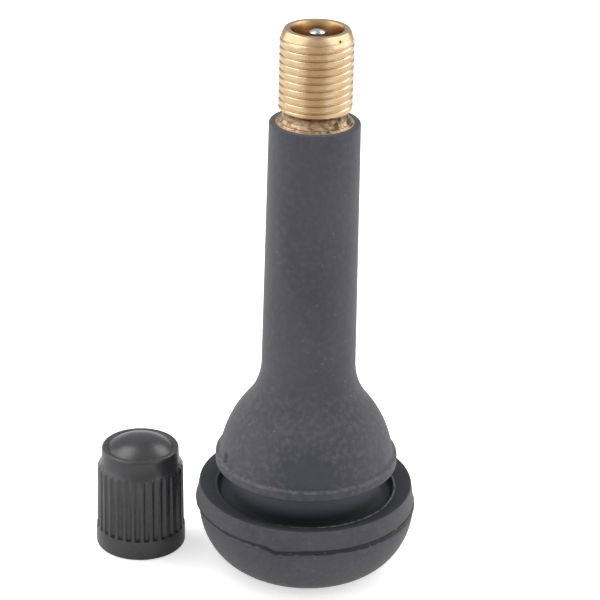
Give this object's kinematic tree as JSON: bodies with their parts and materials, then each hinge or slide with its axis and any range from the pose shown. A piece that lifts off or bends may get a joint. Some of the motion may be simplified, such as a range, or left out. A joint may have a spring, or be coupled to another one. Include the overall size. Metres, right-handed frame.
{
  "type": "tyre valve",
  "caption": "Snap-in tyre valve: rubber body with a rim groove on a threaded brass stem, a screw-in core with a sprung pin, and a fluted screw cap standing beside it.",
  "frame": {"origin": "on the valve's axis, in the flat that the base stands on", "axes": "+Z along the valve's axis towards the mouth of the stem; -Y towards the viewer of the picture; the loose cap stands on the -X side"},
  "size_m": [0.0357, 0.0244, 0.0615],
  "materials": {
    "body_rubber": "matte moulded rubber, dusty",
    "stem_brass": "turned, tarnished at the neck",
    "core_brass": "turned",
    "pin_nickel": "nickel plated",
    "spring_steel": "drawn wire",
    "gasket_rubber": "matte",
    "cap_plastic": "moulded, semi-gloss"
  },
  "bodies": {
    "valve": {"rubber_body": "body_rubber", "brass_stem": "stem_brass", "valve_cap": "cap_plastic", "cap_seal": "gasket_rubber"},
    "core": {"core_barrel": "core_brass", "barrel_gasket": "gasket_rubber", "core_spring": "spring_steel"},
    "plug": {"core_plug": "core_brass"},
    "pin": {"core_pin": "pin_nickel", "seal_cup": "core_brass", "cup_gasket": "gasket_rubber"}
  },
  "joints": [
    {"name": "core_lift", "type": "slide", "parent": "valve", "child": "core", "axis": [0, 0, 1], "range_m": [0, 0.00494]},
    {"name": "plug_turn", "type": "hinge", "parent": "core", "child": "plug", "pos_m": [0, 0, 0.0565], "axis": [0, 0, 1], "range_deg": [0, 2520]},
    {"name": "pin_press", "type": "slide", "parent": "core", "child": "pin", "axis": [0, 0, -1], "range_m": [0, 0.0018], "stiffness_N_per_m": 350, "springref_m": -0.002, "deforming": ["core_spring"]}
  ],
  "couplings": [
    {"joint": "plug_turn", "follows": "core_lift", "rad_per_m": 8905.3}
  ]
}
